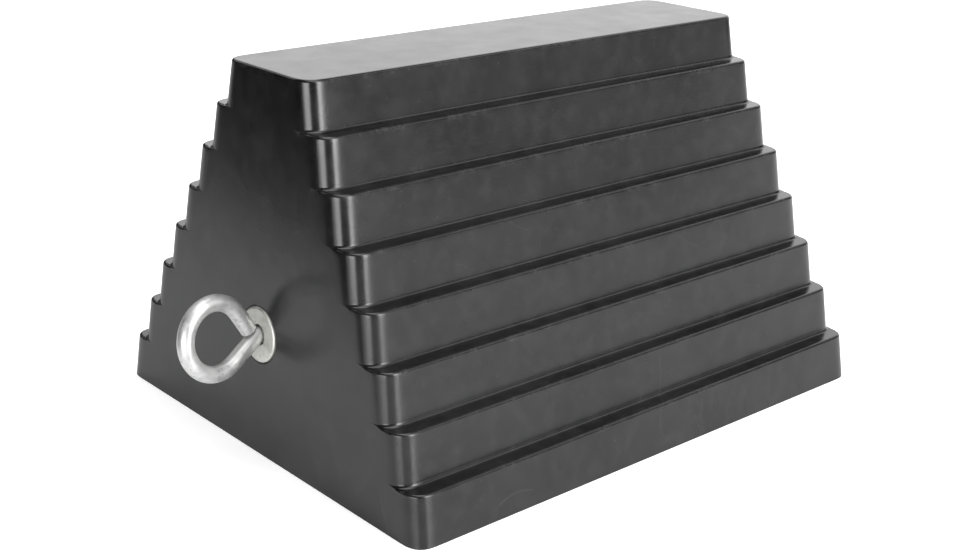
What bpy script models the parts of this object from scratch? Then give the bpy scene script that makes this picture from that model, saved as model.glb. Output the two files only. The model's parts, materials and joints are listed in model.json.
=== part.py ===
"""Rubber wheel chock with an eye bolt, as separate solids.

Metres, +Z up. The origin is the centre of the underside, +X runs along the chock, and the
eye bolt is in the end face on the -X side. The fastening is built in a frame of its own,
whose +Z is the bolt's axis pointing out of the end face and whose +Y points up the face.
"""

import math

import bmesh
import bpy
from mathutils import Matrix, Vector

MM = 0.001
INCH = 25.4 * MM

# Rubber body
HEIGHT = 6 * INCH
TOP_LENGTH = 234.0 * MM
BASE_LENGTH = 250.0 * MM
TOP_WIDTH = 52.8 * MM
TIERS = 8
TOP_RISE = 18.5 * MM
TREAD = 7.25 * MM
RISER_DRAFT = 3.0 * MM
CORNER_REACH = 10.0 * MM
CORNER_POWER = 2.9
CORNER_STEPS = 8

# Place of the fastening on the end face
EYE_HEIGHT = 49.5 * MM
END_SLOPE = math.atan((BASE_LENGTH - TOP_LENGTH) / 2 / HEIGHT)
GAP = 0.3 * MM

# 5/16-18 eye bolt; depths are measured from the end face, outward positive
WIRE_DIAMETER = 6.8 * MM
THREAD_DIAMETER = 5 / 16 * INCH
THREAD_PITCH = INCH / 18
THREAD_LENGTH = 1.5 * INCH
THREAD_DEPTH = 0.5 * MM
SHANK_TIP = -58.0 * MM
TIP_CHAMFER = 1.0 * MM
BEND_POINT = 1.0 * MM
BEND_RADIUS = 5.0 * MM
EYE_RADIUS = 13.6 * MM
EYE_REACH = 21.4 * MM
EYE_RISE = 1.7 * MM
EYE_LEAN_OUT = math.radians(7.0)
EYE_LEAN_UP = math.radians(4.0)
EYE_ROLL = math.radians(8.2)
CUT_END_CLEARANCE = 0.9 * MM
WIRE_SIDES = 16
ROWS_PER_TURN = 4
PATH_STEP = 3.0 * MM

# Washers and nut
FACE_WASHER_DIAMETER = 7 / 8 * INCH
FACE_WASHER_THICKNESS = 2.0 * MM
FACE_WASHER_PROUD = 0.7 * MM
FACE_WASHER_HOLE = 8.2 * MM
WASHER_EDGE = 0.2 * MM
BACKING_WASHER_DIAMETER = 1.25 * INCH
BACKING_WASHER_THICKNESS = INCH / 16
BACKING_WASHER_HOLE = 3 / 8 * INCH
BACKING_WASHER_FRONT = -44.3 * MM
NUT_ACROSS_FLATS = 0.5 * INCH
NUT_HEIGHT = 17 / 64 * INCH
NUT_CHAMFER = 0.5 * MM
BORE_DIAMETER = 8.8 * MM
BORE_PAST_TIP = 1.5 * MM
CUTTER_PROUD = 5.0 * MM
ROUND_SIDES = 48

RUBBER = ("moulded_rubber", (0.035, 0.035, 0.037, 1.0), 0.5, 0.0)
ZINC = ("zinc_plated_wire", (0.66, 0.67, 0.68, 1.0), 0.3, 1.0)
WASHER_STEEL = ("washer_steel", (0.58, 0.59, 0.57, 1.0), 0.4, 1.0)
NUT_STEEL = ("nut_steel", (0.45, 0.45, 0.44, 1.0), 0.45, 1.0)


def clear_scene():
    for item in list(bpy.data.objects):
        bpy.data.objects.remove(item, do_unlink=True)


def make_material(finish):
    name, colour, roughness, metallic = finish
    material = bpy.data.materials.new(name)
    material.use_nodes = True
    shader = material.node_tree.nodes["Principled BSDF"]
    shader.inputs["Base Color"].default_value = colour
    shader.inputs["Roughness"].default_value = roughness
    shader.inputs["Metallic"].default_value = metallic
    material.diffuse_color = colour
    return material


def make_object(name, bm, finish=None, parent=None):
    """Puts a bmesh into the scene as an object, with its normals facing out."""
    bmesh.ops.recalc_face_normals(bm, faces=bm.faces)
    mesh = bpy.data.meshes.new(name)
    bm.to_mesh(mesh)
    bm.free()
    item = bpy.data.objects.new(name, mesh)
    bpy.context.scene.collection.objects.link(item)
    item.parent = parent
    if finish:
        mesh.materials.append(make_material(finish))
    return item


def fill_rows(rows, closed_rings=True):
    """Joins rows of points with quads; an open stack of rings gets a flat cap at each end."""
    bm = bmesh.new()
    rings = [[bm.verts.new(point) for point in row] for row in rows]
    count = len(rings[0])
    pairs = list(zip(rings, rings[1:]))
    if closed_rings:
        pairs.append((rings[-1], rings[0]))
    for lower, upper in pairs:
        for k in range(count):
            j = (k + 1) % count
            bm.faces.new((lower[k], lower[j], upper[j], upper[k]))
    if not closed_rings:
        bm.faces.new(rings[0])
        bm.faces.new(rings[-1])
    return bm


def circle(radius, z, sides=ROUND_SIDES):
    angles = [math.tau * k / sides for k in range(sides)]
    return [Vector((radius * math.cos(a), radius * math.sin(a), z)) for a in angles]


def hexagon(across_flats, z, radius_limit=math.inf, sides=ROUND_SIDES):
    """A hexagon with points all along its flats, cut back to a circle where one is given."""
    points = []
    for k in range(sides):
        angle = math.tau * k / sides
        off_flat = (angle % (math.tau / 6)) - math.tau / 12
        radius = min(across_flats / 2 / math.cos(off_flat), radius_limit)
        points.append(Vector((radius * math.cos(angle), radius * math.sin(angle), z)))
    return points


# ---------------------------------------------------------------- rubber body


def length_at(z):
    return TOP_LENGTH + (BASE_LENGTH - TOP_LENGTH) * (HEIGHT - z) / HEIGHT


def tier_levels():
    """Height and width at the top and the foot of each tier; the rises grow evenly downward."""
    growth = (HEIGHT / TIERS - TOP_RISE) * 2 / (TIERS - 1)
    top = HEIGHT
    width = TOP_WIDTH
    levels = []
    for tier in range(TIERS):
        foot = top - (TOP_RISE + growth * tier)
        levels.append((top, width))
        levels.append((foot, width + 2 * RISER_DRAFT))
        width += 2 * (RISER_DRAFT + TREAD)
        top = foot
    return levels


def half_outline(side, z, width):
    """One long side of a level, with its two corners, from the -X end to the +X end.

    The corners are superellipses, which leave the flat faces more softly than arcs do.
    """
    x_centre = length_at(z) / 2 - CORNER_REACH
    y_centre = width / 2 - CORNER_REACH
    points = []
    for end in (-1, 1):
        for k in range(CORNER_STEPS + 1):
            step = k if end < 0 else CORNER_STEPS - k
            angle = math.pi / 2 * step / CORNER_STEPS
            x = end * (x_centre + CORNER_REACH * math.cos(angle) ** (2 / CORNER_POWER))
            y = side * (y_centre + CORNER_REACH * math.sin(angle) ** (2 / CORNER_POWER))
            points.append((x, y, z))
    return points


def build_block():
    """The stepped block: a stack of strips on each long side, closed by two end faces."""
    bm = bmesh.new()
    levels = tier_levels()
    sides = {}
    for side in (-1, 1):
        sides[side] = [[bm.verts.new(p) for p in half_outline(side, z, w)] for z, w in levels]
        for upper, lower in zip(sides[side], sides[side][1:]):
            for k in range(len(upper) - 1):
                bm.faces.new((upper[k], upper[k + 1], lower[k + 1], lower[k]))
    for level in (0, -1):
        bm.faces.new(sides[-1][level] + sides[1][level][::-1])
    for end in (0, -1):
        near = [row[end] for row in sides[-1]]
        far = [row[end] for row in sides[1]]
        bm.faces.new(near + far[::-1])
    return bm


def cut(target, name, bm, parent):
    cutter = make_object(name, bm, parent=parent)
    cutter.hide_render = True
    cutter.display_type = "WIRE"
    modifier = target.modifiers.new(name, "BOOLEAN")
    modifier.object = cutter
    modifier.operation = "DIFFERENCE"
    modifier.solver = "EXACT"


def plug(shape, size, front, back):
    return fill_rows([shape(size, back), shape(size, front)], closed_rings=False)


def add_chock_body(axis):
    body = make_object("chock_body", build_block(), RUBBER)
    washer_back = FACE_WASHER_PROUD - FACE_WASHER_THICKNESS
    recess = (FACE_WASHER_DIAMETER / 2 + GAP, CUTTER_PROUD, washer_back - GAP)
    bore = (BORE_DIAMETER / 2, CUTTER_PROUD, SHANK_TIP - BORE_PAST_TIP)
    slot_back = BACKING_WASHER_FRONT - BACKING_WASHER_THICKNESS - GAP
    slot = (BACKING_WASHER_DIAMETER / 2 + GAP, BACKING_WASHER_FRONT + GAP, slot_back)
    pocket = (NUT_ACROSS_FLATS + 2 * GAP, slot_back + GAP, slot_back - NUT_HEIGHT - GAP)
    cut(body, "cut_washer_recess", plug(circle, *recess), axis)
    cut(body, "cut_bore", plug(circle, *bore), axis)
    cut(body, "cut_backing_slot", plug(circle, *slot), axis)
    cut(body, "cut_nut_pocket", plug(hexagon, *pocket), axis)


# ---------------------------------------------------------------- washers and nut


def add_washer(name, diameter, hole, thickness, front, parent):
    back = front - thickness
    outer = diameter / 2
    rows = [
        circle(hole / 2, back),
        circle(outer, back),
        circle(outer, front - WASHER_EDGE),
        circle(outer - WASHER_EDGE, front),
        circle(hole / 2, front),
    ]
    make_object(name, fill_rows(rows), WASHER_STEEL, parent)


def add_captive_nut(axis):
    front = BACKING_WASHER_FRONT - BACKING_WASHER_THICKNESS - GAP
    back = front - NUT_HEIGHT
    bore = THREAD_DIAMETER / 2 + GAP
    faced = NUT_ACROSS_FLATS / 2
    rows = [
        circle(bore, back + NUT_CHAMFER),
        circle(bore + NUT_CHAMFER, back),
        hexagon(NUT_ACROSS_FLATS, back, faced),
        hexagon(NUT_ACROSS_FLATS, back + NUT_CHAMFER),
        hexagon(NUT_ACROSS_FLATS, front - NUT_CHAMFER),
        hexagon(NUT_ACROSS_FLATS, front, faced),
        circle(bore + NUT_CHAMFER, front),
        circle(bore, front - NUT_CHAMFER),
    ]
    make_object("captive_nut", fill_rows(rows), NUT_STEEL, axis)


# ---------------------------------------------------------------- eye bolt


def thread_radius(height, angle):
    """Radius of a right-hand thread, which fades into the wire at its outer end."""
    phase = (height / THREAD_PITCH - angle / math.tau) % 1.0
    crest = 1.0 - abs(2.0 * phase - 1.0)
    root = THREAD_DIAMETER / 2 - THREAD_DEPTH
    fade = min(1.0, (SHANK_TIP + THREAD_LENGTH - height) / THREAD_PITCH)
    return root + THREAD_DEPTH * crest * max(0.0, fade)


def thread_rows():
    count = int(THREAD_LENGTH / THREAD_PITCH * ROWS_PER_TURN)
    rows = [circle(THREAD_DIAMETER / 2 - 2 * THREAD_DEPTH, SHANK_TIP, WIRE_SIDES)]
    for i in range(count + 1):
        z = SHANK_TIP + TIP_CHAMFER + (THREAD_LENGTH - TIP_CHAMFER) * i / count
        row = []
        for k in range(WIRE_SIDES):
            angle = math.tau * k / WIRE_SIDES
            radius = thread_radius(z, angle)
            row.append(Vector((radius * math.cos(angle), radius * math.sin(angle), z)))
        rows.append(row)
    return rows


def eye_frame():
    """Axes of the eye's plane: out along the leaning eye, and up across it."""
    out = Vector((math.tan(EYE_LEAN_OUT), math.tan(EYE_LEAN_UP), 1.0)).normalized()
    up = Vector((-math.sin(EYE_ROLL), math.cos(EYE_ROLL), 0.0))
    up = (up - out * up.dot(out)).normalized()
    return out, up


def rounded_corner(before, corner, after, radius, steps):
    """Points of the arc that rounds a corner of a path."""
    inward = (before - corner).normalized()
    outward = (after - corner).normalized()
    half = inward.angle(outward) / 2
    reach = radius / math.tan(half)
    centre = corner + (inward + outward).normalized() * radius / math.sin(half)
    start = (corner + inward * reach - centre).normalized()
    end = (corner + outward * reach - centre).normalized()
    return [centre + start.slerp(end, i / steps) * radius for i in range(steps + 1)]


def eye_path():
    """The wire's centre line from the shank round the eye to its cut end."""
    out, up = eye_frame()
    centre = Vector((EYE_REACH, EYE_RISE))
    bend = Vector((BEND_POINT, 0.0))
    to_centre = centre - bend
    leg_angle = math.atan2(to_centre.y, to_centre.x) - math.asin(EYE_RADIUS / to_centre.length)
    across = Vector((-math.sin(leg_angle), math.cos(leg_angle)))

    # The lower leg runs from the bend to touch the circle. The upper leg comes back square
    # to it and is cut off just short of it.
    start_angle = leg_angle - math.pi / 2
    end_angle = leg_angle + math.pi
    upper_touch = centre + EYE_RADIUS * Vector((math.cos(end_angle), math.sin(end_angle)))
    drop = (upper_touch - bend).dot(across) - WIRE_DIAMETER / 2 - CUT_END_CLEARANCE
    cut_end = upper_touch - across * drop

    arc_steps = int(EYE_RADIUS * (end_angle - start_angle) / PATH_STEP)
    flat = []
    for i in range(arc_steps + 1):
        angle = start_angle + (end_angle - start_angle) * i / arc_steps
        flat.append(centre + EYE_RADIUS * Vector((math.cos(angle), math.sin(angle))))
    flat.append((upper_touch + cut_end) / 2)
    flat.append(cut_end)
    ring = [out * p.x + up * p.y for p in flat]

    bend_corner = Vector((0.0, 0.0, BEND_POINT))
    below = Vector((0.0, 0.0, SHANK_TIP))
    rounded = rounded_corner(below, bend_corner, ring[0], BEND_RADIUS, 4)
    return rounded + ring


def swept_rows(path, radius, first_across):
    """Rings along a path, each square to it, turned no more than the path turns."""
    across = first_across
    rows = []
    for i, point in enumerate(path):
        behind = path[max(i - 1, 0)]
        ahead = path[min(i + 1, len(path) - 1)]
        along = (ahead - behind).normalized()
        across = (across - along * across.dot(along)).normalized()
        over = along.cross(across)
        row = []
        for k in range(WIRE_SIDES):
            angle = math.tau * k / WIRE_SIDES
            row.append(point + (across * math.cos(angle) + over * math.sin(angle)) * radius)
        rows.append(row)
    return rows


def add_eye_bolt(axis):
    path = eye_path()
    thread_end = SHANK_TIP + THREAD_LENGTH
    plain = [Vector((0.0, 0.0, thread_end + THREAD_PITCH))]
    rows = thread_rows() + swept_rows(plain + path, WIRE_DIAMETER / 2, Vector((1, 0, 0)))
    make_object("eye_bolt", fill_rows(rows, closed_rings=False), ZINC, axis)


# ---------------------------------------------------------------- assembly


def add_bolt_axis():
    """An empty on the end face, with +Z out along the bolt and +Y up the face."""
    outward = Vector((-math.cos(END_SLOPE), 0.0, math.sin(END_SLOPE)))
    upward = Vector((math.sin(END_SLOPE), 0.0, math.cos(END_SLOPE)))
    axes = Matrix((upward.cross(outward), upward, outward)).transposed()
    axis = bpy.data.objects.new("bolt_axis", None)
    bpy.context.scene.collection.objects.link(axis)
    axis.location = (-length_at(EYE_HEIGHT) / 2, 0.0, EYE_HEIGHT)
    axis.rotation_euler = axes.to_euler()
    return axis


def build():
    clear_scene()
    axis = add_bolt_axis()
    add_chock_body(axis)
    add_eye_bolt(axis)
    add_washer(
        "face_washer",
        FACE_WASHER_DIAMETER,
        FACE_WASHER_HOLE,
        FACE_WASHER_THICKNESS,
        FACE_WASHER_PROUD,
        axis,
    )
    add_washer(
        "backing_washer",
        BACKING_WASHER_DIAMETER,
        BACKING_WASHER_HOLE,
        BACKING_WASHER_THICKNESS,
        BACKING_WASHER_FRONT,
        axis,
    )
    add_captive_nut(axis)
    bpy.context.view_layer.update()


build()
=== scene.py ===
"""Looks of a rubber wheel chock with an eye bolt: rubber skin, hardware, finishes and studio."""

import json
import math

import bmesh
import bpy
from mathutils import Matrix, Vector, noise


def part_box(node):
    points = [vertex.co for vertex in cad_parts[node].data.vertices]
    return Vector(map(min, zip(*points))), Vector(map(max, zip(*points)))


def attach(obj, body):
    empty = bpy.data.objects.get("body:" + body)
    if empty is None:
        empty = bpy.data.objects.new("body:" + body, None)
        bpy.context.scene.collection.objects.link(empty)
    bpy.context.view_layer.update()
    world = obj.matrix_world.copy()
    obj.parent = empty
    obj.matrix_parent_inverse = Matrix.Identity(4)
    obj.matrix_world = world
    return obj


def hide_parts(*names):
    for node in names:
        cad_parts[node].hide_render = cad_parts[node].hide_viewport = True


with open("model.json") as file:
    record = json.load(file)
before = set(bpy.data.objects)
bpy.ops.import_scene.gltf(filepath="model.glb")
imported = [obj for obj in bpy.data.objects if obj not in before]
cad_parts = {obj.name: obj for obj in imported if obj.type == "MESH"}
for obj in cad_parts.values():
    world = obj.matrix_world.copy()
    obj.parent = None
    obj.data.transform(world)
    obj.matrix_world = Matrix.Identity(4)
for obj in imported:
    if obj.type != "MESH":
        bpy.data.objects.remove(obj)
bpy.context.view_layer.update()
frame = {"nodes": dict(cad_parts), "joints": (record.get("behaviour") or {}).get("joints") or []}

MM = 0.001
INCH = 25.4 * MM

# ---------------------------------------------------------------- sizes

body_low, body_high = (Vector(corner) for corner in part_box("chock_body"))

# Rubber block, worked out from the CAD body's box and the steps on its long sides
HEIGHT = body_high.z
BASE_LENGTH = body_high.x - body_low.x
BASE_WIDTH = body_high.y - body_low.y
END_DRAFT = 8.0 * MM
TOP_LENGTH = BASE_LENGTH - 2 * END_DRAFT
TIERS = 8
TOP_RISE = 18.5 * MM
TREAD = 7.25 * MM
RISER_DRAFT = 3.0 * MM
TOP_WIDTH = BASE_WIDTH - 2 * (TIERS * RISER_DRAFT + (TIERS - 1) * TREAD)
CORNER_REACH = 10.0 * MM
CORNER_POWER = 2.9

# Small roundings that the CAD leaves sharp, and the steps that draw them
LIP_RADIUS = 1.0 * MM
LIP_SHARE_OF_TREAD = 0.8
FOOT_FILLET = 1.25 * MM
FILLET_SHARE_OF_TREAD = 0.9
CORNER_STEPS = 20
EDGE_STEPS = 5
END_STEPS = 8
SIDE_STEPS = 72

# Wear of the lips
WEAR_REACH = 2.4 * MM
WEAR_INSET = 0.8 * MM
BASE_WEAR = 0.3
NICK_SIZE = 0.08 * MM
NICK_SPACING = 2.2 * MM
NICK_THRESHOLD = 0.35
SWELL_SPACING = 6 * NICK_SPACING

# Eye bolt; heights are measured out of the end face along the bolt
WIRE_RADIUS = 3.32 * MM
SHANK_TIP = -58.0 * MM
THREAD_LENGTH = 1.5 * INCH
THREAD_RADIUS = 5 / 32 * INCH
THREAD_PITCH = INCH / 18
THREAD_DEPTH = 0.75 * MM
THREAD_SINK = 0.1 * MM
THREAD_FOOT_WIDTH = 0.84 * THREAD_PITCH
THREAD_CREST_WIDTH = 0.16 * THREAD_PITCH
THREAD_RUNOUT = 1.0 * MM
TIP_CHAMFER = 0.8 * MM
BORE_PAST_TIP = 1.5 * MM
BEND_POINT = 1.0 * MM
BEND_RADIUS = 5.0 * MM
BEND_STEPS = 8
EYE_RADIUS = 13.6 * MM
EYE_REACH = 21.4 * MM
EYE_RISE = 1.7 * MM
EYE_LEAN_OUT = math.radians(7.0)
EYE_LEAN_UP = math.radians(4.0)
EYE_ROLL = math.radians(8.2)
CUT_END_CLEARANCE = 0.9 * MM
CUT_END_WEAR = 0.35 * MM
WIRE_SIDES = 40
PATH_STEP = 0.9 * MM

# Washers, nut and their hollows in the rubber
WASHER_RADIUS = 7 / 16 * INCH
WASHER_HOLE = 4.1 * MM
WASHER_FRONT = 0.7 * MM
WASHER_RIM = 1.1 * MM
WASHER_RIM_DROP = 0.66 * MM
WASHER_BURR = 0.15 * MM
WASHER_DISH = 0.2 * MM
MOUTH_RADIUS = 0.4 * MM
WASHER_BACK = -1.3 * MM
GAP = 0.3 * MM
BORE_RADIUS = 4.4 * MM
BACKING_RADIUS = 5 / 8 * INCH
BACKING_FRONT = -44.3 * MM
BACKING_THICKNESS = INCH / 16
NUT_ACROSS_FLATS = 0.5 * INCH
NUT_HEIGHT = 17 / 64 * INCH
ROUND_SIDES = 96

# Meshes
MERGE_DISTANCE = 1e-7
SMOOTH_ANGLE = math.radians(35)
RUBBER_SMOOTH_ANGLE = math.radians(50)
NORMAL_WEIGHT = 80

# Rubber's finish
RUBBER_DARK = (0.004, 0.004, 0.0042)
RUBBER_PALE = (0.011, 0.011, 0.0115)
DUST = (0.030, 0.030, 0.031)
WORN_TONE = 0.034
SCRATCH_TONE = 0.020
RUBBER_ROUGHNESS = (0.21, 0.27)
WORN_ROUGHNESS = 0.42
RUBBER_IOR = 1.5

# Studio; places are in metres, the lens and the sensor's width in millimetres
CAMERA_PLACE = Vector((-0.41419, -0.45677, 0.27044))
CAMERA_YAW = math.radians(-41.91)
CAMERA_PITCH = math.radians(-19.96)
CAMERA_ROLL = math.radians(1.45)
CAMERA_LENS = 55.26
SENSOR_WIDTH = 36.0
CLIP_START = 10 * MM
FLAG_WIDTH = 1.0
FLAG_HEIGHT = 0.5
FLAG_PLACE = Vector((-0.353, 0.472, 0.252))
FLAG_FACING = math.radians(8.6)
FLAG_TONE = 0.004
FLOOR_WIDTH = 12.0
FLOOR_TONE = 0.90
FLOOR_ROUGHNESS = 0.35
FLOOR_GLOW = 0.20
FLOOR_GLOW_SEEN = 0.60
WHITE = (1.0, 1.0, 1.0, 1.0)

# Name, azimuth in degrees from +X toward +Y, distance, height, width, tallness and watts
SOFTBOXES = (
    ("right_core", 279, 1.3, 0.52, 0.34, 1.0, 11.5),
    ("right_spread", 282, 1.3, 0.52, 0.70, 1.0, 6.5),
    ("left_core", 206, 1.3, 0.24, 0.70, 0.44, 5.0),
    ("left_spread", 202, 1.3, 0.24, 1.20, 0.44, 5.5),
    ("fill_box", 318, 1.3, 0.25, 0.70, 0.46, 0.6),
    ("lip_box", 329, 0.95, 1.00, 0.6, 0.6, 1.8),
    ("end_strip", 343, 0.44, 0.065, 0.30, 0.12, 0.09),
    ("far_box", 105, 1.3, 0.95, 0.8, 0.6, 2.0),
    ("front_top", 275, 0.75, 1.15, 0.9, 0.7, 4.4),
    ("overhead", 0, 0.02, 1.4, 0.8, 0.8, 8.5),
    ("back_box", 36, 1.3, 0.68, 1.9, 1.3, 12.5),
)


def joint_frame(name):
    """Place of a joint, with +Z along its axis and +Y up the end face."""
    joint = next(j for j in frame["joints"] if j["name"] == name)
    outward = Vector(joint["axis"]).normalized()
    side = Vector((0.0, -1.0, 0.0))
    upward = outward.cross(side)
    place = Matrix((side, upward, outward)).transposed().to_4x4()
    place.translation = Vector(joint["pos_m"])
    return place


BOLT_FRAME = joint_frame("bolt_turn")


# ---------------------------------------------------------------- mesh helpers


def merge_and_clean(bm):
    bmesh.ops.remove_doubles(bm, verts=bm.verts, dist=MERGE_DISTANCE)
    bmesh.ops.dissolve_degenerate(bm, edges=bm.edges, dist=MERGE_DISTANCE)


def finish_mesh(name, bm, material, body, smooth_angle=SMOOTH_ANGLE):
    """Makes an object of a bmesh, shades it smooth up to an angle, and rides it on a body."""
    merge_and_clean(bm)
    bmesh.ops.recalc_face_normals(bm, faces=bm.faces)
    for edge in bm.edges:
        edge.smooth = len(edge.link_faces) == 2 and edge.calc_face_angle() < smooth_angle
    for face in bm.faces:
        face.smooth = True
    mesh = bpy.data.meshes.new(name)
    bm.to_mesh(mesh)
    bm.free()
    mesh.materials.append(material)
    item = bpy.data.objects.new(name, mesh)
    bpy.context.scene.collection.objects.link(item)
    weighted = item.modifiers.new("face_weighted_normals", "WEIGHTED_NORMAL")
    weighted.keep_sharp = True
    weighted.weight = NORMAL_WEIGHT
    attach(item, body)
    return item


def add_rings(bm, rings, cap_start=False, cap_end=False, closed=False):
    """Joins rings of points into a skin, with a flat cap where one is asked for."""
    made = [[bm.verts.new(point) for point in ring] for ring in rings]
    pairs = list(zip(made, made[1:]))
    if closed:
        pairs.append((made[-1], made[0]))
    for lower, upper in pairs:
        for k in range(len(lower)):
            j = (k + 1) % len(lower)
            bm.faces.new((lower[k], lower[j], upper[j], upper[k]))
    if cap_start:
        bm.faces.new(made[0][::-1])
    if cap_end:
        bm.faces.new(made[-1])


def circle(radius, z, sides=ROUND_SIDES):
    angles = [math.tau * k / sides for k in range(sides)]
    return [Vector((radius * math.cos(a), radius * math.sin(a), z)) for a in angles]


def hexagon(across_flats, z):
    points = []
    for k in range(ROUND_SIDES):
        angle = math.tau * k / ROUND_SIDES
        off_flat = (angle % (math.tau / 6)) - math.tau / 12
        radius = across_flats / 2 / math.cos(off_flat)
        points.append(Vector((radius * math.cos(angle), radius * math.sin(angle), z)))
    return points


def rounded_edge(radius, across, depth, z, front=True, hole=False):
    """Rings that round the edge between a flat face at height z and a round wall."""
    rings = []
    for i in range(EDGE_STEPS + 1):
        angle = math.pi / 2 * i / EDGE_STEPS
        inset = across * (1 - math.sin(angle)) * (-1 if hole else 1)
        drop = depth * (1 - math.cos(angle)) * (1 if front else -1)
        rings.append(circle(radius - inset, z - drop))
    return rings


# ---------------------------------------------------------------- rubber block


def length_at(z):
    return TOP_LENGTH + 2 * END_DRAFT * (HEIGHT - z) / HEIGHT


def tiers():
    """Top height, foot height and top width of each tier; the rises grow evenly downward."""
    growth = (HEIGHT / TIERS - TOP_RISE) * 2 / (TIERS - 1)
    top = HEIGHT
    for tier in range(TIERS):
        foot = top - (TOP_RISE + growth * tier)
        yield top, foot, TOP_WIDTH + 2 * tier * (RISER_DRAFT + TREAD)
        top = foot


def corner_point(turn):
    """A point of a soft corner of unit size, a superellipse, and its outward direction."""
    x = math.cos(turn) ** (2 / CORNER_POWER)
    y = math.sin(turn) ** (2 / CORNER_POWER)
    out = Vector((x ** (CORNER_POWER - 1), y ** (CORNER_POWER - 1), 0.0)).normalized()
    return Vector((x, y, 0.0)), out


def half_outline(side, z, width, inner_width):
    """Plan of one long side at a height: each point, its outward direction and its turn.

    The points run from the -X end to the +X end. Turn is 0 to 90 degrees round a corner and
    stays there along the side. Along the end edge it is -1 at the tip, where the tier above
    meets the end face, up to 0 at this tier's own corner.
    """
    x_centre = length_at(z) / 2 - CORNER_REACH
    y_centre = width / 2 - CORNER_REACH
    y_tip = inner_width / 2 - CORNER_REACH if inner_width else 0.0
    ends = {}
    for end in (-1, 1):
        flip = Matrix.Diagonal((end, side, 1.0))
        centre = Vector((end * x_centre, side * y_centre, z))
        points = []
        for j in range(END_STEPS):
            y = side * (y_tip + (y_centre - y_tip) * j / END_STEPS)
            place = Vector((end * (x_centre + CORNER_REACH), y, z))
            points.append((place, Vector((end, 0.0, 0.0)), j / END_STEPS - 1))
        for k in range(CORNER_STEPS + 1):
            turn = math.pi / 2 * k / CORNER_STEPS
            offset, out = corner_point(turn)
            points.append((centre + flip @ offset * CORNER_REACH, flip @ out, turn))
        ends[end] = points
    start, stop = ends[-1][-1][0], ends[1][-1][0]
    straight_side = []
    for i in range(1, SIDE_STEPS):
        place = start.lerp(stop, i / SIDE_STEPS)
        straight_side.append((place, Vector((0.0, side, 0.0)), math.pi / 2))
    return ends[-1] + straight_side + ends[1][::-1]


def tread_depth(turn):
    """How far the tread reaches in from the end edge, where the tier above curves away."""
    across = min(TREAD * (1 + turn) / CORNER_REACH, 1.0)
    return CORNER_REACH * (1 - (1 - across ** CORNER_POWER) ** (1 / CORNER_POWER))


def lip_wear(place):
    """Extra rounding of a lip where it is worn: slow swells with small nicks between them."""
    swell = noise.noise(place / SWELL_SPACING)
    nick = max(0.0, noise.noise(place / NICK_SPACING) - NICK_THRESHOLD)
    return NICK_SIZE * max(0.0, swell + 2 * nick)


def lip_rows(side, top, rise, width, inner_width):
    """Rows over the rounded lip, from the tread to the riser. The lip dies out at its tips."""
    rows = []
    for i in range(EDGE_STEPS + 1):
        angle = math.pi / 2 * i / EDGE_STEPS
        row = []
        for k, (edge, _, turn) in enumerate(half_outline(side, top, width, inner_width)):
            radius = LIP_RADIUS + lip_wear(edge)
            if inner_width and turn < 0:
                radius = min(radius, LIP_SHARE_OF_TREAD * tread_depth(turn))
            drop = radius * (1 - math.cos(angle))
            wider = width + 2 * RISER_DRAFT * drop / rise
            place, out, _ = half_outline(side, top - drop, wider, inner_width)[k]
            row.append(place - out * radius * (1 - math.sin(angle)))
        rows.append(row)
    return rows


def foot_rows(side, foot, rise, width):
    """Rows round the hollow fillet at a riser's foot, which dies out where the ends begin."""
    full_width = width + 2 * RISER_DRAFT
    nearly_sideways = 0.1
    rows = []
    for i in range(EDGE_STEPS, -1, -1):
        angle = math.pi / 2 * i / EDGE_STEPS
        row = []
        for k, (edge, out, _) in enumerate(half_outline(side, foot, full_width, full_width)):
            room = (length_at(foot) / 2 - abs(edge.x)) / max(abs(out.x), nearly_sideways)
            fillet = min(FOOT_FILLET, FILLET_SHARE_OF_TREAD * room)
            height = fillet * (1 - math.cos(angle))
            narrower = full_width - 2 * RISER_DRAFT * height / rise
            place, out, _ = half_outline(side, foot + height, narrower, narrower)[k]
            row.append(place + out * fillet * (1 - math.sin(angle)))
        rows.append(row)
    return rows


def plain_row(side, z, width, inner_width):
    return [place for place, _, _ in half_outline(side, z, width, inner_width)]


def unworn_row(lip, tread_start, side, top, width):
    """A row just inside a lip, where its wear ends."""
    if tread_start:
        share = WEAR_INSET / TREAD
        return [edge.lerp(start, share) for edge, start in zip(lip, tread_start)]
    outward = [out for _, out, _ in half_outline(side, top, width, 0.0)]
    return [edge - out * WEAR_INSET for edge, out in zip(lip, outward)]


def block_side_rows(side):
    """All rows of one long side from the top face to the base, each with its edge wear."""
    rows = []
    inner_width = 0.0
    for top, foot, width in tiers():
        rise = top - foot
        full_width = width + 2 * RISER_DRAFT
        lip = lip_rows(side, top, rise, width, inner_width)
        tread_start = rows[-1][0] if rows else None
        rows.append((unworn_row(lip[0], tread_start, side, top, width), 0.0))
        rows += [(row, 1.0) for row in lip]
        worn_width = width + 2 * RISER_DRAFT * WEAR_REACH / rise
        rows.append((plain_row(side, top - WEAR_REACH, worn_width, inner_width), 0.0))
        if foot > MM:
            rows += [(row, 0.0) for row in foot_rows(side, foot, rise, width)]
        else:
            rows.append((plain_row(side, foot, full_width, full_width), BASE_WEAR))
        inner_width = full_width
    return rows


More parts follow.
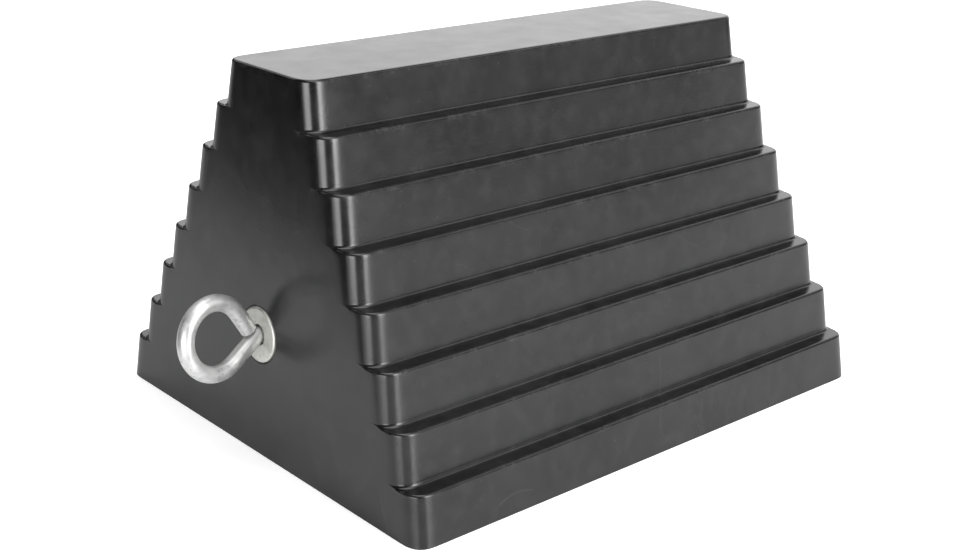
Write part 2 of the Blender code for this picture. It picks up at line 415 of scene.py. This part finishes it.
def recess_rings():
    """Rings of the washer's recess and the bolt's bore, from the end face to the blind end."""
    recess = WASHER_RADIUS + GAP
    floor = WASHER_BACK - GAP
    slot_front = BACKING_FRONT + GAP
    slot_back = BACKING_FRONT - BACKING_THICKNESS - GAP
    nut_back = slot_back - NUT_HEIGHT - GAP
    pocket = NUT_ACROSS_FLATS + 2 * GAP
    bore_end = SHANK_TIP - BORE_PAST_TIP
    rings = rounded_edge(recess, MOUTH_RADIUS, MOUTH_RADIUS, 0.0, hole=True)
    rings.append(circle(recess, floor))
    rings += rounded_edge(BORE_RADIUS, MOUTH_RADIUS, MOUTH_RADIUS, floor, hole=True)
    rings += [circle(BORE_RADIUS, slot_front), circle(BACKING_RADIUS + GAP, slot_front)]
    rings += [circle(BACKING_RADIUS + GAP, slot_back), hexagon(pocket, slot_back)]
    rings += [hexagon(pocket, nut_back), circle(BORE_RADIUS, nut_back)]
    rings += [circle(BORE_RADIUS, bore_end)]
    return rings


def add_rubber_block(material):
    bm = bmesh.new()
    wear = bm.verts.layers.float.new("edge_wear")
    row_sets = {}
    for side in (-1, 1):
        rows = []
        for row, worn in block_side_rows(side):
            rows.append([bm.verts.new(point) for point in row])
            for vert in rows[-1]:
                vert[wear] = worn
        for upper, lower in zip(rows, rows[1:]):
            for k in range(len(upper) - 1):
                bm.faces.new((upper[k], upper[k + 1], lower[k + 1], lower[k]))
        row_sets[side] = rows
    for level in (0, -1):
        bm.faces.new(row_sets[-1][level] + row_sets[1][level][::-1])
    merge_and_clean(bm)
    rings = [[BOLT_FRAME @ point for point in ring] for ring in recess_rings()]
    add_rings(bm, rings, cap_end=True)
    open_edges = [e for e in bm.edges if len(e.link_faces) == 1]
    for end in (-1, 1):
        ring = [e for e in open_edges if e.verts[0].co.x * end > 0]
        bmesh.ops.triangle_fill(bm, use_beauty=True, use_dissolve=False, edges=ring)
    block = finish_mesh("rubber_block", bm, material, "chock", RUBBER_SMOOTH_ANGLE)
    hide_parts("chock_body")


# ---------------------------------------------------------------- hardware


def eye_frame():
    """Axes of the eye's plane: out along the leaning eye, and up across it."""
    out = Vector((math.tan(EYE_LEAN_OUT), math.tan(EYE_LEAN_UP), 1.0)).normalized()
    up = Vector((-math.sin(EYE_ROLL), math.cos(EYE_ROLL), 0.0))
    up = (up - out * up.dot(out)).normalized()
    return out, up


def rounded_bend(before, corner, after):
    """Points of the arc that rounds the bend between the shank and the eye."""
    inward = (before - corner).normalized()
    outward = (after - corner).normalized()
    half = inward.angle(outward) / 2
    reach = BEND_RADIUS / math.tan(half)
    centre = corner + (inward + outward).normalized() * BEND_RADIUS / math.sin(half)
    start = (corner + inward * reach - centre).normalized()
    end = (corner + outward * reach - centre).normalized()
    turns = [start.slerp(end, i / BEND_STEPS) for i in range(BEND_STEPS + 1)]
    return [centre + turn * BEND_RADIUS for turn in turns]


def straight(start, end):
    """Points between two places, not counting the first."""
    steps = max(1, round((end - start).length / PATH_STEP))
    return [start.lerp(end, i / steps) for i in range(1, steps + 1)]


def eye_path():
    """The wire's centre line from the thread round the eye to its cut end."""
    out, up = eye_frame()
    centre = Vector((EYE_REACH, EYE_RISE))
    bend = Vector((BEND_POINT, 0.0))
    to_centre = centre - bend
    leg_angle = math.atan2(to_centre.y, to_centre.x) - math.asin(EYE_RADIUS / to_centre.length)
    across = Vector((-math.sin(leg_angle), math.cos(leg_angle)))
    start_angle = leg_angle - math.pi / 2
    end_angle = leg_angle + math.pi
    steps = round(EYE_RADIUS * (end_angle - start_angle) / PATH_STEP)
    angles = [start_angle + (end_angle - start_angle) * i / steps for i in range(steps + 1)]
    ring = [centre + EYE_RADIUS * Vector((math.cos(a), math.sin(a))) for a in angles]
    drop = (ring[-1] - bend).dot(across) - WIRE_RADIUS - CUT_END_CLEARANCE
    cut_end = ring[-1] - across * drop

    ring_points = [out * p.x + up * p.y for p in ring]
    cut_point = out * cut_end.x + up * cut_end.y
    bend_point = Vector((0.0, 0.0, BEND_POINT))
    below = Vector((0.0, 0.0, SHANK_TIP + THREAD_LENGTH))
    rounded = rounded_bend(below, bend_point, ring_points[0])
    path = [below] + straight(below, rounded[0]) + rounded[1:]
    path += straight(path[-1], ring_points[0]) + ring_points[1:]
    path += straight(path[-1], cut_point)
    return path


def swept_rings(path, radii, first_across, sides):
    """Rings along a path, each square to it, turned no more than the path turns."""
    across = first_across
    rings = []
    for i, (point, radius) in enumerate(zip(path, radii)):
        behind = path[max(i - 1, 0)]
        ahead = path[min(i + 1, len(path) - 1)]
        along = (ahead - behind).normalized()
        across = (across - along * across.dot(along)).normalized()
        over = along.cross(across)
        ring = []
        for k in range(sides):
            angle = math.tau * k / sides
            ring.append(point + (across * math.cos(angle) + over * math.sin(angle)) * radius)
        rings.append(ring)
    return rings


def thread_ridge(bm):
    """The thread's ridge: a helix wound on the core, which tapers away at both ends."""
    turns = (THREAD_LENGTH - 2 * THREAD_PITCH) / THREAD_PITCH
    steps = round(turns * WIRE_SIDES)
    root = THREAD_RADIUS - THREAD_DEPTH - THREAD_SINK
    foot = THREAD_FOOT_WIDTH / 2
    crest = THREAD_CREST_WIDTH / 2
    thinnest = 0.05
    profile = ((root, -foot), (THREAD_RADIUS, -crest), (THREAD_RADIUS, crest), (root, foot))
    rings = []
    for i in range(steps + 1):
        angle = math.tau * i / WIRE_SIDES
        z = SHANK_TIP + THREAD_PITCH * (0.5 + angle / math.tau)
        ends = min(1.0, i / WIRE_SIDES, (steps - i) / WIRE_SIDES)
        ring = []
        for radius, across in profile:
            reach = root + (radius - root) * max(ends, thinnest)
            place = Vector((reach * math.cos(angle), reach * math.sin(angle), z + across))
            ring.append(place)
        rings.append(ring)
    add_rings(bm, [[BOLT_FRAME @ p for p in ring] for ring in rings], True, True)


def add_eye_bolt(material):
    bm = bmesh.new()
    core = THREAD_RADIUS - THREAD_DEPTH
    shank = [circle(core - TIP_CHAMFER, SHANK_TIP, WIRE_SIDES)]
    shank += [circle(core, SHANK_TIP + TIP_CHAMFER, WIRE_SIDES)]
    shank += [circle(core, SHANK_TIP + THREAD_LENGTH - THREAD_RUNOUT, WIRE_SIDES)]

    path = eye_path()
    radii = [WIRE_RADIUS] * len(path)
    # The sheared end has a narrow worn edge, drawn by one ring between its two ends.
    along = (path[-1] - path[-2]).normalized()
    shoulder = 0.7
    path[-1] = path[-1] - along * CUT_END_WEAR
    path += [path[-1] + along * CUT_END_WEAR * shoulder, path[-1] + along * CUT_END_WEAR]
    radii += [WIRE_RADIUS - CUT_END_WEAR * (1 - shoulder), WIRE_RADIUS - CUT_END_WEAR]
    rings = shank + swept_rings(path, radii, Vector((1.0, 0.0, 0.0)), WIRE_SIDES)
    add_rings(bm, [[BOLT_FRAME @ p for p in ring] for ring in rings], True, True)
    thread_ridge(bm)
    bolt = finish_mesh("bent_wire_eye", bm, material, "eye")
    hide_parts("eye_bolt")


def add_face_washer(material):
    """A punched washer: its edge is rounded on the front and sharper on the back."""
    bm = bmesh.new()
    burr = WASHER_BURR
    hollow_front = WASHER_FRONT - WASHER_DISH
    rings = rounded_edge(WASHER_RADIUS, WASHER_RIM, WASHER_RIM_DROP, WASHER_FRONT)
    rings += rounded_edge(WASHER_RADIUS, burr, burr, WASHER_BACK, front=False)[::-1]
    rings += rounded_edge(WASHER_HOLE, burr, burr, WASHER_BACK, front=False, hole=True)
    rings += rounded_edge(WASHER_HOLE, 2 * burr, 2 * burr, hollow_front, hole=True)[::-1]
    add_rings(bm, [[BOLT_FRAME @ p for p in ring] for ring in rings], closed=True)
    washer = finish_mesh("punched_washer", bm, material, "washer")
    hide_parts("face_washer")


def dress_hidden_nodes(plate, nut):
    """The nut and the wide washer inside the rubber keep their CAD shapes."""
    for name, material in (("backing_washer", plate), ("captive_nut", nut)):
        node = frame["nodes"][name]
        node.data.materials.clear()
        node.data.materials.append(material)


# ---------------------------------------------------------------- materials


MIX_SOCKETS = {"fac": 0, "a": 6, "b": 7}
MIX_RESULT = 2


def grey(tone):
    return (tone, tone, tone)


class Shader:
    """A short way to write a material's nodes."""

    def __init__(self, name):
        self.material = bpy.data.materials.new(name)
        self.material.use_nodes = True
        self.tree = self.material.node_tree
        self.surface = self.tree.nodes["Principled BSDF"]
        self.where = self.add("ShaderNodeTexCoord").outputs["Object"]

    def add(self, kind, **settings):
        node = self.tree.nodes.new(kind)
        for key, value in settings.items():
            setattr(node, key, value)
        return node

    def link(self, output, target):
        self.tree.links.new(output, target)

    def noise(self, scale, detail=3.0, roughness=0.55):
        node = self.add("ShaderNodeTexNoise")
        self.link(self.where, node.inputs["Vector"])
        node.inputs["Scale"].default_value = scale
        node.inputs["Detail"].default_value = detail
        node.inputs["Roughness"].default_value = roughness
        return node.outputs["Fac"]

    def ramp(self, value, *stops):
        """A colour ramp through (position, grey or colour) stops."""
        node = self.add("ShaderNodeValToRGB")
        elements = node.color_ramp.elements
        while len(elements) < len(stops):
            elements.new(0.5)
        for element, (position, colour) in zip(elements, stops):
            element.position = position
            rgb = colour if isinstance(colour, tuple) else grey(colour)
            element.color = (*rgb, 1.0)
        self.link(value, node.inputs["Fac"])
        return node.outputs["Color"]

    def remap(self, value, low, high, out_low, out_high):
        node = self.add("ShaderNodeMapRange")
        self.link(value, node.inputs["Value"])
        node.inputs["From Min"].default_value = low
        node.inputs["From Max"].default_value = high
        node.inputs["To Min"].default_value = out_low
        node.inputs["To Max"].default_value = out_high
        return node.outputs["Result"]

    def mix(self, fac, a, b, blend="MIX"):
        """Blends two colours, each of them a tuple or another node's output."""
        node = self.add("ShaderNodeMix", data_type="RGBA", blend_type=blend)
        for name, source in (("fac", fac), ("a", a), ("b", b)):
            socket = node.inputs[MIX_SOCKETS[name]]
            if isinstance(source, float):
                socket.default_value = source
            elif isinstance(source, tuple):
                socket.default_value = (*source, 1.0)
            else:
                self.link(source, socket)
        return node.outputs[MIX_RESULT]

    def both(self, a, b):
        """Where one mask and another overlap."""
        return self.mix(1.0, a, b, "MULTIPLY")

    def bump(self, height, distance, strength, after=None):
        node = self.add("ShaderNodeBump")
        node.inputs["Strength"].default_value = strength
        node.inputs["Distance"].default_value = distance
        self.link(height, node.inputs["Height"])
        if after is not None:
            self.link(after, node.inputs["Normal"])
        return node.outputs["Normal"]


def rubber_colour(shader, worn):
    """Nearly black and cloudy, with dust in patches and specks, worn lips and hair scratches."""
    cloud = shader.noise(38.0, detail=4.0, roughness=0.6)
    tone = shader.ramp(cloud, (0.3, RUBBER_DARK), (0.7, RUBBER_PALE))
    patches = shader.noise(150.0, detail=6.0, roughness=0.7)
    dusty = shader.ramp(patches, (0.45, 0.0), (0.8, 0.5))
    specks = shader.ramp(shader.noise(900.0, detail=1.0), (0.74, 0.0), (0.80, 1.0))
    dust = shader.mix(1.0, dusty, specks, "LIGHTEN")
    colour = shader.mix(dust, tone, DUST)
    colour = shader.mix(worn, colour, grey(WORN_TONE))
    outlines = shader.noise(17.0, detail=0.0)
    hairline = shader.ramp(outlines, (0.4975, 0.0), (0.5, 1.0), (0.5025, 0.0))
    sparse = shader.ramp(shader.noise(31.0, detail=0.0), (0.62, 0.0), (0.67, 1.0))
    return shader.mix(shader.both(hairline, sparse), colour, grey(SCRATCH_TONE))


def rubber_material():
    """Black moulded rubber: satin, cloudy with dust, worn pale along its lips."""
    shader = Shader("moulded_rubber_skin")
    edge = shader.add("ShaderNodeAttribute", attribute_name="edge_wear").outputs["Fac"]
    near_edge = shader.ramp(edge, (0.1, 0.0), (0.9, 1.0))
    rubbed = shader.noise(120.0, detail=5.0, roughness=0.7)
    worn = shader.both(near_edge, shader.ramp(rubbed, (0.52, 0.0), (0.75, 0.7)))
    shader.link(rubber_colour(shader, worn), shader.surface.inputs["Base Color"])
    gloss = shader.remap(shader.noise(70.0, detail=5.0), 0.3, 0.7, *RUBBER_ROUGHNESS)
    rough = shader.mix(worn, gloss, grey(WORN_ROUGHNESS))
    shader.link(rough, shader.surface.inputs["Roughness"])
    shader.surface.inputs["IOR"].default_value = RUBBER_IOR
    swell = shader.bump(shader.noise(60.0), distance=0.6 * MM, strength=0.05)
    grain = shader.bump(shader.noise(900.0), distance=0.1 * MM, strength=0.20, after=swell)
    shader.link(grain, shader.surface.inputs["Normal"])
    return shader.material


def plated_material(name, bright, dull, roughness, metallic, speck_tone):
    """Zinc plating: a soft sheen with cloudy tone, patches of dark specks and slight ripples."""
    shader = Shader(name)
    cloud = shader.noise(210.0, detail=5.0, roughness=0.65)
    tone = shader.mix(shader.ramp(cloud, (0.38, 0.0), (0.62, 1.0)), dull, bright)
    specks = shader.ramp(shader.noise(750.0), (0.56, 0.0), (0.66, 1.0))
    patches = shader.ramp(shader.noise(130.0, detail=2.0), (0.50, 0.0), (0.60, 1.0))
    speck_colour = tuple(speck_tone * channel for channel in dull)
    colour = shader.mix(shader.both(specks, patches), tone, speck_colour)
    shader.link(colour, shader.surface.inputs["Base Color"])
    shader.surface.inputs["Metallic"].default_value = metallic
    gloss = shader.remap(shader.noise(420.0), 0.3, 0.7, *roughness)
    shader.link(gloss, shader.surface.inputs["Roughness"])
    ripple = shader.bump(shader.noise(260.0), distance=0.4 * MM, strength=0.12)
    pits = shader.noise(1100.0, detail=2.0)
    pitted = shader.bump(pits, distance=0.1 * MM, strength=0.30, after=ripple)
    shader.link(pitted, shader.surface.inputs["Normal"])
    return shader.material


def wire_material():
    return plated_material(
        "zinc_plating",
        bright=(0.68, 0.68, 0.675),
        dull=(0.54, 0.54, 0.54),
        roughness=(0.36, 0.48),
        metallic=0.66,
        speck_tone=0.62,
    )


def washer_material():
    return plated_material(
        "washer_plating",
        bright=(0.70, 0.70, 0.66),
        dull=(0.55, 0.55, 0.51),
        roughness=(0.38, 0.52),
        metallic=0.75,
        speck_tone=0.75,
    )


def nut_material():
    return plated_material(
        "nut_plating",
        bright=(0.55, 0.55, 0.54),
        dull=(0.40, 0.40, 0.40),
        roughness=(0.35, 0.50),
        metallic=0.75,
        speck_tone=0.60,
    )


# ---------------------------------------------------------------- studio


def aim(item, target):
    item.rotation_euler = (target - item.location).to_track_quat("-Z", "Y").to_euler()


def softbox(name, place, width, height, power):
    """A soft area light on the block's middle, which the camera itself doesn't see."""
    data = bpy.data.lights.new(name, "AREA")
    data.shape = "RECTANGLE"
    data.size = width
    data.size_y = height
    data.energy = power
    light = bpy.data.objects.new(name, data)
    bpy.context.scene.collection.objects.link(light)
    light.location = place
    aim(light, Vector((0.0, 0.0, HEIGHT / 2)))
    light.visible_camera = False


def card(name, width, height, shader):
    """A flat sheet, which lies level round its own middle."""
    bm = bmesh.new()
    bmesh.ops.create_grid(bm, x_segments=1, y_segments=1, size=0.5)
    bmesh.ops.scale(bm, vec=(width, height, 1.0), verts=bm.verts)
    mesh = bpy.data.meshes.new(name)
    bm.to_mesh(mesh)
    bm.free()
    mesh.materials.append(shader.material)
    sheet = bpy.data.objects.new(name, mesh)
    bpy.context.scene.collection.objects.link(sheet)
    return sheet


def add_floor():
    """White paper that glows a little, and more to the camera, so that it has no grey edge."""
    shader = Shader("pale_paper")
    shader.surface.inputs["Base Color"].default_value = (*grey(FLOOR_TONE), 1.0)
    shader.surface.inputs["Roughness"].default_value = FLOOR_ROUGHNESS
    shader.surface.inputs["Emission Color"].default_value = WHITE
    seen = shader.add("ShaderNodeLightPath").outputs["Is Camera Ray"]
    glow = shader.remap(seen, 0.0, 1.0, FLOOR_GLOW, FLOOR_GLOW_SEEN)
    shader.link(glow, shader.surface.inputs["Emission Strength"])
    floor = card("floor", FLOOR_WIDTH, FLOOR_WIDTH, shader)


def add_flag():
    """A black card out of the picture, which the rubber mirrors and which casts no shadow."""
    shader = Shader("flag_black")
    shader.surface.inputs["Base Color"].default_value = (*grey(FLAG_TONE), 1.0)
    shader.surface.inputs["Roughness"].default_value = 1.0
    shader.surface.inputs["Specular IOR Level"].default_value = 0.0
    flag = card("flag", FLAG_WIDTH, FLAG_HEIGHT, shader)
    flag.location = FLAG_PLACE
    aim(flag, FLAG_PLACE + Vector((math.cos(FLAG_FACING), math.sin(FLAG_FACING), 0.0)))
    flag.visible_camera = False
    flag.visible_shadow = False


def around(azimuth, reach, height):
    """A place round the object; azimuth is counted from +X toward +Y."""
    turn = math.radians(azimuth)
    return Vector((reach * math.cos(turn), reach * math.sin(turn), height))


def add_lights():
    for name, azimuth, reach, height, width, tall, power in SOFTBOXES:
        softbox(name, around(azimuth, reach, height), width, tall, power)


def add_world():
    """A white background, which the camera sees and which lights nothing."""
    world = bpy.data.worlds.new("studio")
    world.use_nodes = True
    tree = world.node_tree
    background = tree.nodes["Background"]
    background.inputs["Color"].default_value = WHITE
    path = tree.nodes.new("ShaderNodeLightPath")
    tree.links.new(path.outputs["Is Camera Ray"], background.inputs["Strength"])
    bpy.context.scene.world = world


def add_camera():
    data = bpy.data.cameras.new("camera")
    data.lens = CAMERA_LENS
    data.sensor_width = SENSOR_WIDTH
    data.clip_start = CLIP_START
    camera = bpy.data.objects.new("camera", data)
    bpy.context.scene.collection.objects.link(camera)
    turn = Matrix.Rotation(CAMERA_YAW, 4, "Z")
    tilt = Matrix.Rotation(math.pi / 2 + CAMERA_PITCH, 4, "X")
    roll = Matrix.Rotation(CAMERA_ROLL, 4, "Z")
    camera.matrix_world = Matrix.Translation(CAMERA_PLACE) @ turn @ tilt @ roll
    bpy.context.scene.camera = camera


def main():
    plate = washer_material()
    add_rubber_block(rubber_material())
    add_eye_bolt(wire_material())
    add_face_washer(plate)
    dress_hidden_nodes(plate, nut_material())
    add_floor()
    add_flag()
    add_lights()
    add_world()
    add_camera()
    bpy.context.scene.view_settings.view_transform = "Standard"


main()
